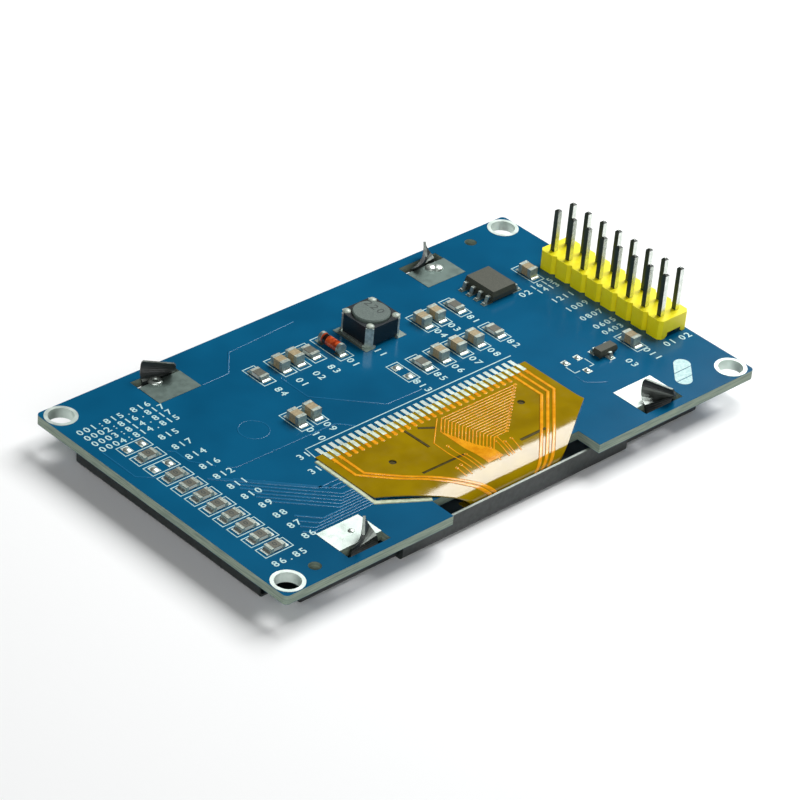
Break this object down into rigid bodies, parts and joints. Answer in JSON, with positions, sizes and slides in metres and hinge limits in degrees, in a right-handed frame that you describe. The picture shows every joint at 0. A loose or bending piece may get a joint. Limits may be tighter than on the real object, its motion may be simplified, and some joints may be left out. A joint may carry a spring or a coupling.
{
  "type": "display module",
  "caption": "Small display module seen from behind: circuit board with header and film, display glass in a folded steel bezel.",
  "frame": {"origin": "centre of the board's outline, on the outside of the bezel's face", "axes": "+X along the board's long edge towards the pin header, +Y from the film's edge of the board to the opposite long edge, +Z from the display's face to the component side"},
  "size_m": [0.073, 0.0422, 0.0124],
  "materials": {
    "blue_mask": "smooth solder mask over glass fibre laminate, satin gloss",
    "tin": "tinned copper, satin",
    "solder": "bright solder",
    "black_steel": "black painted sheet steel with bare cut edges, satin",
    "dark_film": "dark glossy polarizer film",
    "panel_glass": "clear display glass with dark layers behind",
    "silicon": "polished silicon",
    "foam": "white foam tape",
    "amber_film": "amber polyimide film over copper traces",
    "yellow_nylon": "yellow moulded nylon, satin",
    "black_ferrite": "black pressed ferrite, satin",
    "grey_ferrite": "grey ground ferrite, matt",
    "copper_wire": "enamelled copper wire",
    "orange_glass": "orange glass",
    "dull_metal": "dull tinned metal",
    "black_epoxy": "black moulded epoxy, matt",
    "tan_ceramic": "tan fired ceramic, satin",
    "grey_ceramic": "dark glaze over alumina, satin"
  },
  "bodies": {
    "root": {"board": "blue_mask", "tinned_pads": "tin", "solder_joints": "solder", "bezel": "black_steel", "polarizer": "dark_film", "display_glass": "panel_glass", "cover_glass": "panel_glass", "driver_chip": "silicon", "foam_tape": "foam", "flex_film": "amber_film", "film_contacts": "tin", "header_insulator": "yellow_nylon", "header_pins": "tin", "header_solder": "solder", "inductor_shield": "black_ferrite", "inductor_drum": "grey_ferrite", "inductor_winding": "copper_wire", "inductor_terminals": "tin", "diode_glass": "orange_glass", "diode_caps": "dull_metal", "amplifier_body": "black_epoxy", "amplifier_leads": "dull_metal", "transistor_body": "black_epoxy", "transistor_leads": "dull_metal", "capacitor_ends": "tin", "resistor_ends": "tin", "capacitor_1": "tan_ceramic", "capacitor_2": "tan_ceramic", "capacitor_3": "tan_ceramic", "capacitor_4": "tan_ceramic", "capacitor_5": "tan_ceramic", "capacitor_6": "tan_ceramic", "capacitor_7": "tan_ceramic", "capacitor_8": "tan_ceramic", "capacitor_9": "tan_ceramic", "capacitor_10": "tan_ceramic", "capacitor_11": "tan_ceramic", "resistor_1": "grey_ceramic", "resistor_2": "grey_ceramic", "resistor_3": "grey_ceramic", "resistor_4": "grey_ceramic", "resistor_5": "grey_ceramic", "resistor_6": "grey_ceramic", "resistor_7": "grey_ceramic", "resistor_8": "grey_ceramic", "resistor_9": "grey_ceramic", "resistor_10": "grey_ceramic", "resistor_11": "grey_ceramic", "resistor_12": "grey_ceramic", "resistor_13": "grey_ceramic", "resistor_14": "grey_ceramic"}
  },
  "joints": []
}
